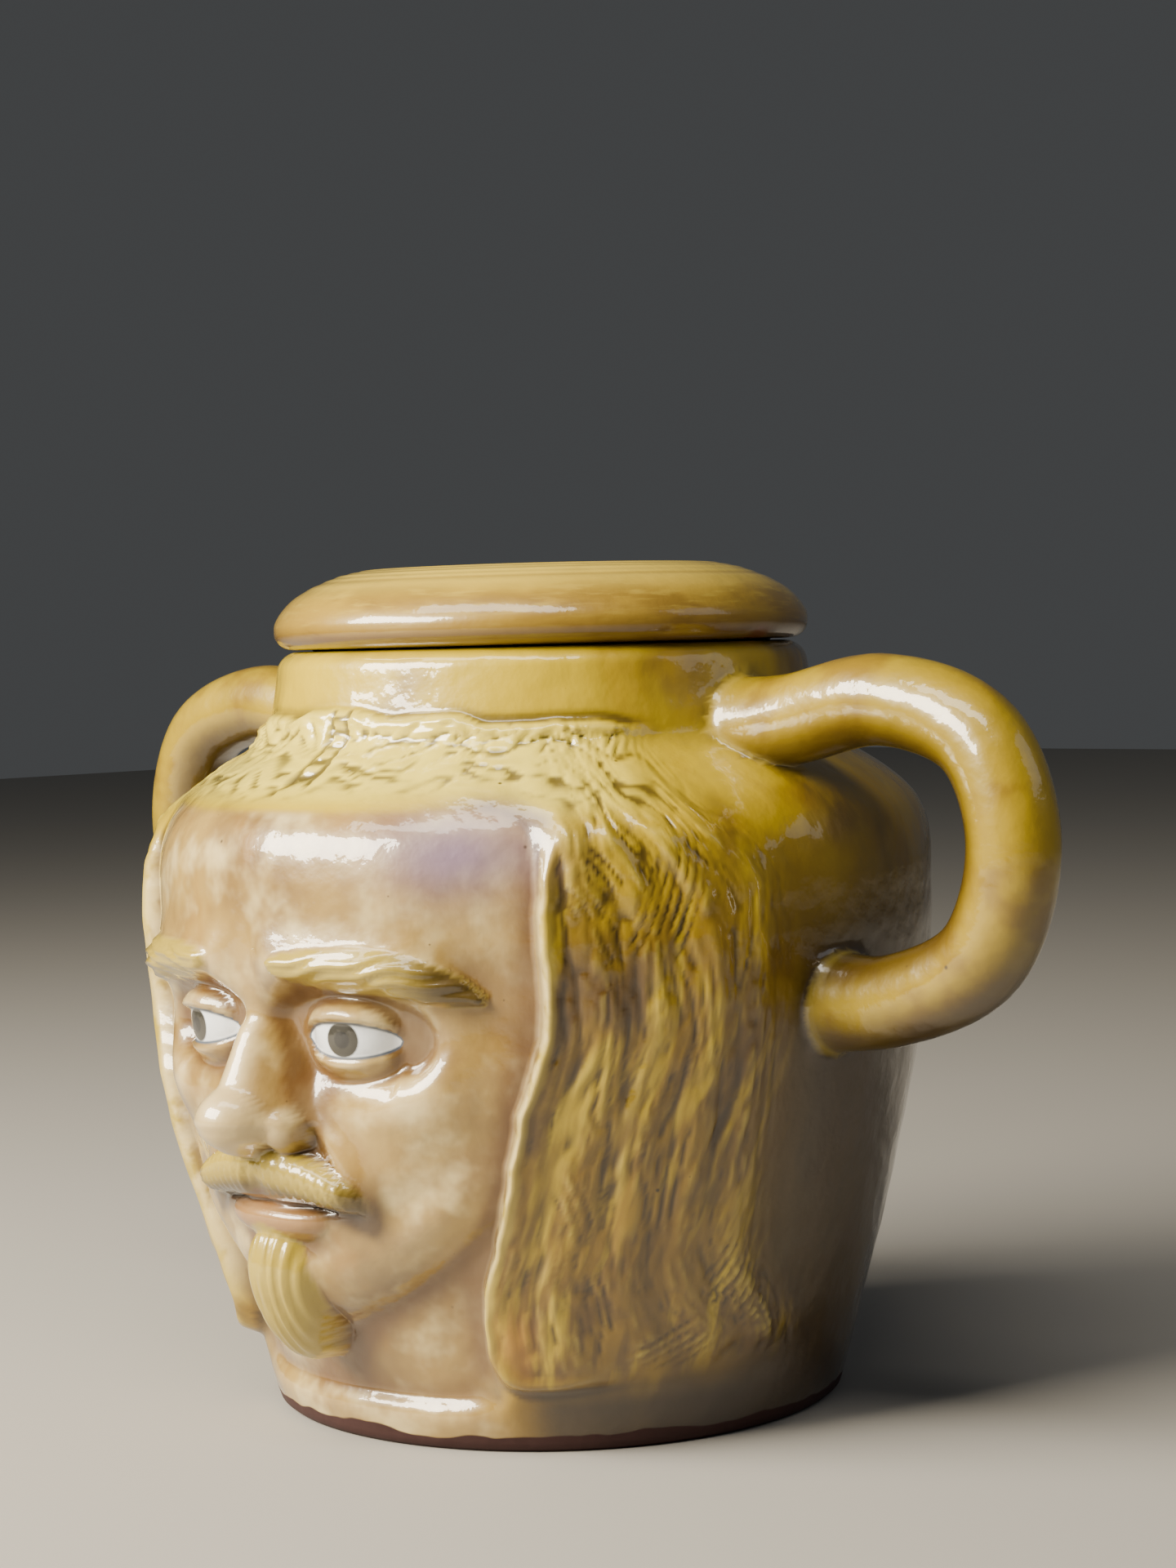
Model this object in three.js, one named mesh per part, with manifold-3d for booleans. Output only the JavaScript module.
import * as THREE from 'three';
import { mergeVertices } from 'three/addons/utils/BufferGeometryUtils.js';
import Module from 'manifold-3d';

// A lidded jug with a face: a turned pot with carved hair and face, two coil handles and a lid that lifts off.
// Millimetres, foot on z = 0, the pot's axis on z, the face towards -y and the handles on the x axis.

// Turned pot
const footRadius = 62;
const bellyRadius = 84.8;
const bellyHeight = 106;
const neckFootRadius = 60.7;
const neckFootHeight = 146;
const rimRadius = 57.6;
const rimHeight = 163.5;
const wallThickness = 6.5;
const floorThickness = 8;
const floorCorner = 7;
const leastWall = 3;
const lipRound = 4;
const innerLipFlare = 2.4;
const footSwell = 1.55;
const shoulderDrop = 2.7;

// Lid
const lidSeatGap = 0.3;
const lidOverhang = 1.6;
const lidHeight = 17.4;
const lidEdgeHeight = 3.8;
const lidEdgeRound = 4.6;
const lidTopRadius = 38;
const lidDome = 0.3;
const lidWall = 6;
const flangeDepth = 8;
const flangeWall = 4.5;
const flangeClearance = 1;
const lidShoulderPower = 1.35;

// Handles, one coil of clay each
const coilRadius = 9.3;
const handleReach = 137;
const handleCrestHeight = 160.4;
const handleUnderside = 82;
const coilFlare = 0.28;
const coilFlareLength = 12;
const coilEndDrop = 1.5;
const coilEndDepth = 1.6 * wallThickness;

// Hair, which frames the face and hangs to near the foot; its side limits are angles from the face's middle
const hairHem = 13;
const hemRound = 10;
const hairTop = 152.5;
const hairTopEdge = 2;
const hairTopSlope = 0.07;
const hairThickness = 3;
const hairFrontRoll = 2.6;
const hairRollWidth = 12;
const hairEdgeWidth = 2.6;
const fringeThickness = 2.6;
const fringeBlend = 6;
const lockDepth = 0.9;
const lockCount = 5.5;
const templeRound = 14;
const faceEdgeLow = 33;
const faceEdgeHigh = 45;
const edgeSlantLow = 24.5;
const edgeSlantHigh = 98;
const edgeWaveDepth = 0.6;
const edgeWaveLength = 40;
const hairBackHigh = 84;
const hairBackLow = 98;
const hairBackFade = 14;
const backSlantLow = 15;
const backSlantHigh = 46;
const crownShift = 14;
const crownLow = 113;
const crownHigh = 141;

// Face, from chin to hairline, with its carving in hundredths of its own height
const chinHeight = 29;
const hairlineHeight = 131;
const faceHeight = hairlineHeight - chinHeight;
const part = faceHeight / 100;
const browUp = 200 / 3;
const noseUp = 100 / 3;
const mouthUp = 200 / 9;
const eyeUp = 56;
const eyeWidth = 22.5;
const faceUnderHair = 6;
const faceFootLow = 2;
const faceFootHigh = 9;
const carvingBlend = 1;

// Facets
const wallSpans = [
  { to: 4, steps: 1 },
  { to: hairHem + 4, steps: 5 },
  { to: chinHeight + 0.81 * faceHeight, steps: 34 },
  { to: hairlineHeight - 2, steps: 4 },
  { to: hairlineHeight + 2, steps: 2 },
  { to: neckFootHeight, steps: 3 },
  { to: hairTop + 1.5, steps: 3 },
  { to: rimHeight - lipRound, steps: 1 },
  { to: rimHeight, steps: 3 },
];
const middleColumns = 14;
const middleShare = 0.6;
const middleSpread = 1.2;
const cheekColumns = 5;
const backColumns = 5;
const turnedSides = 32;
const cavitySteps = 7;
const roundSteps = 3;
const coilSides = 12;
const coilSteps = 18;
const lidSides = 36;
const lidShoulderSteps = 8;
const lidHollowSteps = 4;
const mergeDistance = 1e-4;

const clayColors = {
  jug: 0xa88a4e,
  lid: 0xc9a968,
};

function rise(start, end, value) {
  const share = THREE.MathUtils.clamp((value - start) / (end - start), 0, 1);
  return share * share * (3 - 2 * share);
}

// The higher of two surfaces, with a rounded valley where they cross
function higher(first, second, blend) {
  const share = THREE.MathUtils.clamp(0.5 + (0.5 * (first - second)) / blend, 0, 1);
  return second + (first - second) * share + blend * share * (1 - share);
}

function lower(first, second, blend) {
  return -higher(-first, -second, blend);
}

// Outer radius of the turned wall
function potRadius(z) {
  const low = THREE.MathUtils.clamp(z / bellyHeight, 0, 1);
  const high = THREE.MathUtils.clamp((z - bellyHeight) / (neckFootHeight - bellyHeight), 0, 1);
  const neck = THREE.MathUtils.clamp((z - neckFootHeight) / (rimHeight - neckFootHeight), 0, 1);
  const swell = (bellyRadius - footRadius) * (1 - (1 - low) ** footSwell);
  const shoulder = (bellyRadius - neckFootRadius) * rise(0, 1, high ** shoulderDrop);
  return footRadius + swell - shoulder - (neckFootRadius - rimRadius) * neck;
}

// The same wall with its rounded lip
function lippedRadius(z) {
  const lip = THREE.MathUtils.clamp((z - rimHeight + lipRound) / lipRound, 0, 1);
  return potRadius(z) - lipRound * (1 - Math.sqrt(1 - lip * lip));
}

// Half angle of the face between the side locks, in degrees
function faceEdge(z) {
  const wave = edgeWaveDepth * Math.sin((2 * Math.PI * z) / edgeWaveLength);
  return faceEdgeLow + (faceEdgeHigh - faceEdgeLow) * rise(edgeSlantLow, edgeSlantHigh, z) + wave;
}

// Angle at which the hair ends behind, in degrees from the face's middle
function hairBack(z) {
  const low = rise(backSlantHigh, backSlantLow, z);
  return hairBackHigh + (hairBackLow - hairBackHigh) * low - crownShift * rise(crownLow, crownHigh, z);
}

// Distance inside the hair's front edge, along the wall
function insideFace(turn, z) {
  const side = THREE.MathUtils.degToRad(faceEdge(z) - turn) * bellyRadius;
  return lower(side, hairlineHeight - z, templeRound);
}

// Share of the hair's thickness, which falls off at its front edge, its rounded hem, its back and its top
function hairCover(turn, z) {
  const front = lower(-insideFace(turn, z), z - hairHem, hemRound);
  const back = rise(0, hairBackFade, hairBack(z) - turn);
  return rise(0, hairEdgeWidth, front) * back * rise(0, hairTopEdge, hairTop - hairTopSlope * turn - z);
}

function hairRise(turn, z) {
  const beyond = Math.max(-insideFace(turn, z), 0);
  const share = (turn - faceEdge(z)) / (hairBack(z) - faceEdge(z));
  const locks = lockDepth * Math.sin(2 * Math.PI * lockCount * share);
  const curtain = hairThickness + hairFrontRoll * Math.exp(-beyond / hairRollWidth) + locks;
  const fringe = rise(hairlineHeight - fringeBlend, hairlineHeight + fringeBlend, z);
  return hairCover(turn, z) * (curtain + (fringeThickness - curtain) * fringe);
}

// Broad forms of the head: heaps and hollows with their middle, half widths and rise
const heaps = {
  forehead: { across: 0, up: 82, wide: 49, tall: 24, rise: 2.4, flat: true },
  temple: { across: 49, up: 67, wide: 9, tall: 15, rise: -1.4, flat: false },
  cheekbone: { across: 36, up: 44, wide: 14, tall: 11, rise: 3.6, flat: false },
  cheek: { across: 26.5, up: 24.5, wide: 12, tall: 13, rise: 1.6, flat: false },
  muzzle: { across: 0, up: 22.5, wide: 25.5, tall: 17, rise: 4.2, flat: true },
  chin: { across: 0, up: 7, wide: 14, tall: 9.5, rise: 6.2, flat: false },
  chinCrease: { across: 0, up: 14, wide: 12, tall: 3, rise: -2, flat: false },
  eyeSocket: { across: 0.92 * eyeWidth, up: eyeUp + 2, wide: 16, tall: 9.6, rise: -5.6, flat: true },
};

// Edge of the jaw and the hollow under it
const jaw = {
  middle: -1,
  curve: 0.0095,
  over: 7,
  thick: 6,
  rise: 2.2,
  hollow: 5,
  brim: 3,
  neckLow: -22,
  neckHigh: -15,
  from: 8,
  full: 20,
  fade: 32,
  wide: 58,
};

// Crease from the nose to the corner of the mouth
const crease = {
  start: 11.5,
  spread: 0.62,
  top: 38,
  depth: 1.5,
  wide: 2.6,
  low: 17,
  high: 43,
  ends: 8,
};

// Brow ridge with its tuft
const brow = {
  middle: 29,
  half: 22,
  peak: 4,
  droop: 5.5,
  ridge: 2.4,
  ridgeTall: 6,
  inner: 1,
  innerFull: 9,
  outerFull: 38,
  outer: 50,
  tuft: 2.6,
  tuftTall: 4.4,
  tuftWide: 21.5,
  fullness: 0.6,
};

// Eyeball and lids
const lids = {
  upper: 5.4,
  lower: 4,
  tilt: 0.6,
  thick: 1.7,
  edge: 0.8,
  ball: 13.5,
  front: 1.2,
  near: 1,
  reach: 4.6,
};

// Straight nose: its bridge from root to tip, then the ball of the tip and the wings
const nose = {
  root: -6,
  tip: 6.5,
  bridge: 2.6,
  rise: 14,
  bow: 1.2,
  wide: 3,
  spread: 1.8,
  slope: 1.6,
  rootFade: 5.5,
  rootCut: 3,
  underCut: 6,
  blend: 3.2,
};
const noseTip = { wide: 8.4, tall: 7.6, top: 18.2, fall: 14, blend: 3.2 };
const noseWing = { across: 8, up: 4.4, wide: 5.4, tall: 5.4, top: 10.6, fall: 7, blend: 2.6 };

// Closed lips and the line between them
const mouth = { bow: 0.004, parting: 2, partingTall: 1.3, partingEnd: 18.5, partingFull: 14.5, blend: 2 };
const lowerLip = { across: 0, up: -3.6, wide: 15.5, tall: 5, top: 8.7, fall: 4 };
const upperLip = { across: 5, up: 2.8, wide: 12.5, tall: 4.4, top: 8, fall: 3.6 };

// Moustache, as two wings from the middle
const whiskers = {
  drop: 3.6,
  slope: 0.075,
  curve: 0.0062,
  half: 5.4,
  wide: 27,
  taper: 2.4,
  point: 0.35,
  base: 6,
  baseSlope: 0.09,
  rise: 4.2,
  fall: 5,
  full: 20,
  middleShare: 0.68,
  middleWide: 5,
  blend: 1.4,
};

// Tuft that hangs from the chin
const goatee = { up: 4, wide: 9.6, tall: 14.6, top: 12.2, fall: 10, swell: 0.16, swellTall: 14, blend: 1.6 };

function bell(across, up, flat) {
  const square = across * across + up * up;
  return Math.exp(flat ? -square * square : -square);
}

// A rounded lump pressed on to the clay, which falls off from its top
function lump(across, up, top, fall) {
  return top - fall * (across * across + up * up);
}

function headForm(across, up) {
  let height = 0;
  for (const heap of Object.values(heaps)) {
    height += heap.rise * bell((across - heap.across) / heap.wide, (up - heap.up) / heap.tall, heap.flat);
  }
  const foldEnd = rise(crease.low, crease.low + crease.ends, up);
  const foldStart = rise(crease.high, crease.high - crease.ends, up);
  const fold = (across - crease.start - crease.spread * (crease.top - up)) / crease.wide;
  const jawLine = up - jaw.middle - jaw.curve * across * across;
  const edge = Math.exp(-(((jawLine - jaw.over) / jaw.thick) ** 2)) * rise(jaw.from, jaw.full, across);
  const under = rise(jaw.brim, -2 * jaw.brim, jawLine) * rise(jaw.neckLow, jaw.neckHigh, up);
  const jawRise = rise(jaw.wide, jaw.fade, across) * (jaw.rise * edge - jaw.hollow * under);
  return height - crease.depth * foldStart * foldEnd * Math.exp(-fold * fold) + jawRise;
}

function browRise(across, up) {
  const offset = up - browUp - brow.peak + brow.droop * ((across - brow.middle) / brow.half) ** 2;
  const ends = rise(brow.outer, brow.outerFull, across) * rise(brow.inner, brow.innerFull, across);
  const span = 1 - ((across - brow.middle) / brow.tuftWide) ** 2;
  const tuft = span > 0 ? 1 - (offset / brow.tuftTall) ** 2 / span : 0;
  const ridge = brow.ridge * Math.exp(-((offset / brow.ridgeTall) ** 2)) * ends;
  return ridge + brow.tuft * Math.max(tuft, 0) ** brow.fullness;
}

// Distance outside the opening between an eye's lids
function lidGap(across, up) {
  const half = eyeWidth / 2;
  const along = (across - eyeWidth) / half;
  const arch = Math.sqrt(1 - Math.min(along * along, 1));
  const middle = eyeUp + lids.tilt * along;
  if (Math.abs(along) > 1) return Math.hypot((Math.abs(along) - 1) * half, up - middle);
  return Math.max(up - middle - lids.upper * arch, middle - lids.lower * arch - up);
}

function withEyes(face, across, up) {
  const gap = lidGap(across, up);
  const reach = lids.ball ** 2 - (across - eyeWidth) ** 2 - (up - eyeUp) ** 2;
  const ball = Math.sqrt(Math.max(reach, 0)) - lids.ball + lids.front;
  const lid = ball + lids.thick * rise(-lids.edge, lids.edge, gap);
  const share = Math.exp(-((Math.max(gap - lids.near, 0) / lids.reach) ** 2));
  return face + (lid - face) * share;
}

function withNose(face, across, up) {
  const root = browUp + nose.root;
  const tip = noseUp + nose.tip;
  const along = THREE.MathUtils.clamp((root - up) / (root - tip), 0, 1);
  const above = rise(root + nose.rootFade, root - nose.rootFade, up);
  const below = rise(noseUp, tip, up);
  const wide = nose.wide + nose.spread * along;
  const ridge = nose.bridge + nose.rise * along ** nose.bow;
  const roof = (ridge - nose.slope * (Math.hypot(across, wide) - wide)) * above * below;
  const cut = nose.underCut * (1 - below) + nose.rootCut * (1 - above);
  const ball = lump(across / noseTip.wide, (up - tip) / noseTip.tall, noseTip.top, noseTip.fall);
  const wingAcross = (across - noseWing.across) / noseWing.wide;
  const wing = lump(wingAcross, (up - noseUp - noseWing.up) / noseWing.tall, noseWing.top, noseWing.fall);
  const bridge = higher(face, roof - cut, nose.blend);
  return higher(higher(bridge, ball, noseTip.blend), wing, noseWing.blend);
}

function withMouth(face, across, up) {
  const line = mouthUp - mouth.bow * across * across;
  let made = face;
  for (const lip of [lowerLip, upperLip]) {
    const body = lump((across - lip.across) / lip.wide, (up - line - lip.up) / lip.tall, lip.top, lip.fall);
    made = higher(made, body, mouth.blend);
  }
  const ends = rise(mouth.partingEnd, mouth.partingFull, across);
  return made - mouth.parting * Math.exp(-(((up - line) / mouth.partingTall) ** 2)) * ends;
}

function withBeard(face, across, up) {
  const middle = noseUp - whiskers.drop - whiskers.slope * across - whiskers.curve * across * across;
  const along = Math.min((across / whiskers.wide) ** whiskers.taper, 1);
  const fullness = whiskers.middleShare + (1 - whiskers.middleShare) * rise(0, whiskers.middleWide, across);
  const half = whiskers.half * (1 - along + along * whiskers.point) * fullness;
  const ends = rise(whiskers.wide, whiskers.full, across) * fullness;
  const top = whiskers.base - whiskers.baseSlope * across + whiskers.rise * ends;
  const wing = lump(0, (up - middle) / half, top, whiskers.fall);
  const swell = 1 + goatee.swell * THREE.MathUtils.clamp((up - goatee.up) / goatee.swellTall, -1, 1);
  const tuft = lump(across / (goatee.wide * swell), (up - goatee.up) / goatee.tall, goatee.top, goatee.fall);
  return higher(higher(face, wing, whiskers.blend), tuft, goatee.blend);
}

function faceRise(turn, z) {
  const shown = rise(-faceUnderHair, 0, insideFace(turn, z)) * rise(faceFootLow, faceFootHigh, z);
  if (shown === 0) return 0;
  const across = (bellyRadius * Math.sin(THREE.MathUtils.degToRad(turn))) / part;
  const up = (z - chinHeight) / part;
  const head = withEyes(headForm(across, up), across, up) + browRise(across, up);
  return part * shown * withBeard(withMouth(withNose(head, across, up), across, up), across, up);
}

// Outer radius of the carved pot, never cut deeper than the wall allows
function carvedRadius(turn, z) {
  const carving = faceRise(turn, z) + hairRise(turn, z);
  return lippedRadius(z) + higher(carving, leastWall - wallThickness, carvingBlend);
}

function wallHeights() {
  const heights = [0];
  let from = 0;
  for (const span of wallSpans) {
    for (let step = 1; step <= span.steps; step += 1) {
      heights.push(from + ((span.to - from) * step) / span.steps);
    }
    from = span.to;
  }
  return heights;
}

// Angles of one side's columns: on the face, on the hair's edge, along the locks and round the back
function sideColumns() {
  const columns = [];
  const add = (fine, turn) => columns.push({ fine, turn });
  for (let step = 1; step <= middleColumns; step += 1) {
    add(true, (z) => faceEdge(z) * middleShare * (step / middleColumns) ** middleSpread);
  }
  for (let step = 1; step <= cheekColumns; step += 1) {
    add(true, (z) => faceEdge(z) * (middleShare + ((1 - middleShare) * step) / cheekColumns));
  }
  const edgeTurn = THREE.MathUtils.radToDeg(hairEdgeWidth / bellyRadius);
  add(true, (z) => faceEdge(z) + edgeTurn);
  for (let phase = 0.75; phase < lockCount; phase += 0.5) {
    add(false, (z) => faceEdge(z) + ((hairBack(z) - faceEdge(z)) * phase) / lockCount);
  }
  for (let step = 0; step < backColumns; step += 1) {
    add(false, (z) => hairBack(z) + ((180 - hairBack(z)) * step) / backColumns);
  }
  return columns;
}

function allColumns() {
  const right = sideColumns();
  const mirrored = ({ fine, turn }) => ({ fine, turn: (z) => -turn(z) });
  const left = right.map(mirrored).reverse();
  return [{ fine: false, turn: () => -180 }, ...left, { fine: true, turn: () => 0 }, ...right];
}

// Joins two neighbouring columns with faces along the shorter diagonals; a coarse column has every second row
function joinColumns(points, indices, first, second) {
  for (let row = 0; row + 2 < first.length; row += 2) {
    const left = first.slice(row, row + 3).filter((index) => index !== undefined);
    const right = second.slice(row, row + 3).filter((index) => index !== undefined);
    while (left.length > 1 || right.length > 1) {
      const leftSpan = left.length > 1 ? points[left[1]].distanceTo(points[right[0]]) : Infinity;
      const rightSpan = right.length > 1 ? points[left[0]].distanceTo(points[right[1]]) : Infinity;
      if (leftSpan < rightSpan) indices.push(left.shift(), right[0], left[0]);
      else indices.push(left[0], right.shift(), right[0]);
    }
  }
}

function carvedSolid() {
  const heights = wallHeights();
  const points = [new THREE.Vector3(0, 0, 0), new THREE.Vector3(0, 0, rimHeight)];
  const indices = [];
  const columns = allColumns().map(({ fine, turn }) =>
    heights.map((z, row) => {
      if (!fine && row % 2 === 1) return undefined;
      const angle = THREE.MathUtils.degToRad(turn(z));
      const radius = carvedRadius(Math.abs(turn(z)), z);
      points.push(new THREE.Vector3(radius * Math.sin(angle), -radius * Math.cos(angle), z));
      return points.length - 1;
    }),
  );
  columns.forEach((column, number) => {
    const next = columns[(number + 1) % columns.length];
    joinColumns(points, indices, column, next);
    indices.push(0, next[0], column[0]);
    indices.push(1, column.at(-1), next.at(-1));
  });
  return solidOf(new THREE.BufferGeometry().setFromPoints(points).setIndex(indices));
}

// A solid turned about z from points of radius and height
function turnedSolid(points, sides) {
  const profile = points.map(([radius, height]) => new THREE.Vector2(radius, height));
  return solidOf(new THREE.LatheGeometry(profile, sides).rotateX(Math.PI / 2));
}

// Room inside the jug, with its rounded inner lip
function cavitySolid() {
  const points = [[0, floorThickness]];
  const from = floorThickness + floorCorner;
  const to = rimHeight - lipRound;
  const lowRadius = potRadius(from) - wallThickness;
  const neckRadius = rimRadius - wallThickness;
  for (let step = 0; step < roundSteps; step += 1) {
    const turn = (step / roundSteps) * (Math.PI / 2);
    points.push([lowRadius - floorCorner * (1 - Math.sin(turn)), from - floorCorner * Math.cos(turn)]);
  }
  for (let step = 0; step <= cavitySteps; step += 1) {
    const z = from + ((to - from) * step) / cavitySteps;
    points.push([potRadius(z) - wallThickness, z]);
  }
  for (let step = 1; step <= roundSteps; step += 1) {
    const turn = (step / roundSteps) * (Math.PI / 2);
    points.push([neckRadius + innerLipFlare * (1 - Math.cos(turn)), to + lipRound * Math.sin(turn)]);
  }
  points.push([neckRadius + innerLipFlare, rimHeight + lipRound], [0, rimHeight + lipRound]);
  return turnedSolid(points, turnedSides);
}

// Middle line of the coil on the +x side
function handleCurve() {
  const outer = handleReach - coilRadius;
  const crest = handleCrestHeight - coilRadius;
  const low = handleUnderside + coilRadius;
  const upperEnd = new THREE.Vector3(rimRadius - wallThickness, 0, neckFootHeight - coilEndDrop);
  const lowerEnd = new THREE.Vector3(potRadius(low) - coilEndDepth, 0, low - coilEndDrop);
  const across = (share) => upperEnd.x + (outer - upperEnd.x) * share;
  const down = (share) => crest + (low - crest) * share;
  return new THREE.CatmullRomCurve3([
    upperEnd,
    new THREE.Vector3(across(0.28), 0, down(0.065)),
    new THREE.Vector3(across(0.6), 0, crest),
    new THREE.Vector3(across(0.9), 0, down(0.13)),
    new THREE.Vector3(outer, 0, down(0.46)),
    new THREE.Vector3(across(0.9), 0, down(0.83)),
    new THREE.Vector3(across(0.62), 0, low),
    lowerEnd,
  ]);
}

// A coil of clay along the handle's curve, spread at both ends where it is pressed on to the pot
function handleSolid(side) {
  const path = handleCurve();
  const section = new THREE.Shape().absarc(0, 0, coilRadius, 0, 2 * Math.PI);
  const options = { steps: coilSteps, extrudePath: path, curveSegments: coilSides / 2, bevelEnabled: false };
  const coil = withoutExtras(new THREE.ExtrudeGeometry(section, options));
  const middles = path.getSpacedPoints(coilSteps);
  const length = path.getLength();
  const point = new THREE.Vector3();
  const places = coil.attributes.position;
  for (let index = 0; index < places.count; index += 1) {
    point.fromBufferAttribute(places, index);
    const distances = middles.map((middle) => middle.distanceTo(point));
    const nearest = distances.indexOf(Math.min(...distances));
    const fromEnd = (Math.min(nearest, coilSteps - nearest) / coilSteps) * length;
    const spread = 1 + coilFlare * Math.exp(-((fromEnd / coilFlareLength) ** 2));
    point.sub(middles[nearest]).multiplyScalar(spread).add(middles[nearest]);
    places.setXYZ(index, point.x, point.y, point.z);
  }
  if (side < 0) coil.rotateZ(Math.PI);
  return solidOf(coil);
}

function jugGeometry() {
  const pot = carvedSolid().add(handleSolid(1)).add(handleSolid(-1));
  return geometryOf(pot.subtract(cavitySolid()));
}

// Upper side of the lid from its widest edge to its nearly flat top
function lidShoulder(inset, steps) {
  const edge = rimRadius + lidOverhang;
  const points = [];
  for (let step = 0; step <= steps; step += 1) {
    const turn = (step / steps) * (Math.PI / 2);
    const radius = lidTopRadius + (edge - lidTopRadius) * Math.cos(turn) ** lidShoulderPower;
    const height = lidEdgeHeight + (lidHeight - lidDome - lidEdgeHeight) * Math.sin(turn);
    points.push([radius - inset, height - inset]);
  }
  return points;
}

function lidGeometry() {
  const base = rimHeight + lidSeatGap;
  const edge = rimRadius + lidOverhang;
  const flangeOuter = rimRadius - wallThickness - flangeClearance;
  const flangeInner = flangeOuter - flangeWall;
  const shoulder = lidShoulder(lidWall, lidHollowSteps);
  const hollow = shoulder.filter(([radius, height]) => radius < flangeInner && height > 0);
  const underEdge = [];
  for (let step = 0; step < roundSteps; step += 1) {
    const turn = (step / roundSteps) * (Math.PI / 2);
    underEdge.push([edge - lidEdgeRound * (1 - Math.sin(turn)), lidEdgeHeight * (1 - Math.cos(turn))]);
  }
  const points = [
    [0, lidHeight - lidWall],
    ...hollow.reverse(),
    [flangeInner, -lidWall / 2],
    [flangeInner, -flangeDepth],
    [flangeOuter, -flangeDepth],
    [flangeOuter, 0],
    ...underEdge,
    ...lidShoulder(0, lidShoulderSteps),
    [0, lidHeight],
  ];
  return geometryOf(turnedSolid(points, lidSides)).translate(0, 0, base);
}

function withoutExtras(geometry) {
  geometry.deleteAttribute('normal');
  geometry.deleteAttribute('uv');
  return mergeVertices(geometry, mergeDistance);
}

function solidOf(geometry) {
  const merged = withoutExtras(geometry);
  const vertProperties = new Float32Array(merged.attributes.position.array);
  const triVerts = new Uint32Array(merged.index.array);
  return new wasm.Manifold(new wasm.Mesh({ numProp: 3, vertProperties, triVerts }));
}

function geometryOf(solid) {
  const mesh = solid.getMesh();
  const geometry = new THREE.BufferGeometry();
  geometry.setAttribute('position', new THREE.BufferAttribute(mesh.vertProperties, 3));
  geometry.setIndex(new THREE.BufferAttribute(mesh.triVerts, 1));
  geometry.computeVertexNormals();
  return geometry;
}

function clayPiece(name, geometry) {
  const glaze = new THREE.MeshStandardMaterial({ color: clayColors[name], roughness: 0.25, metalness: 0 });
  const piece = new THREE.Mesh(geometry, glaze);
  piece.name = name;
  return piece;
}

const wasm = await Module();
wasm.setup();

const faceJug = new THREE.Group();
faceJug.add(clayPiece('jug', jugGeometry()));
faceJug.add(clayPiece('lid', lidGeometry()));

export default faceJug;
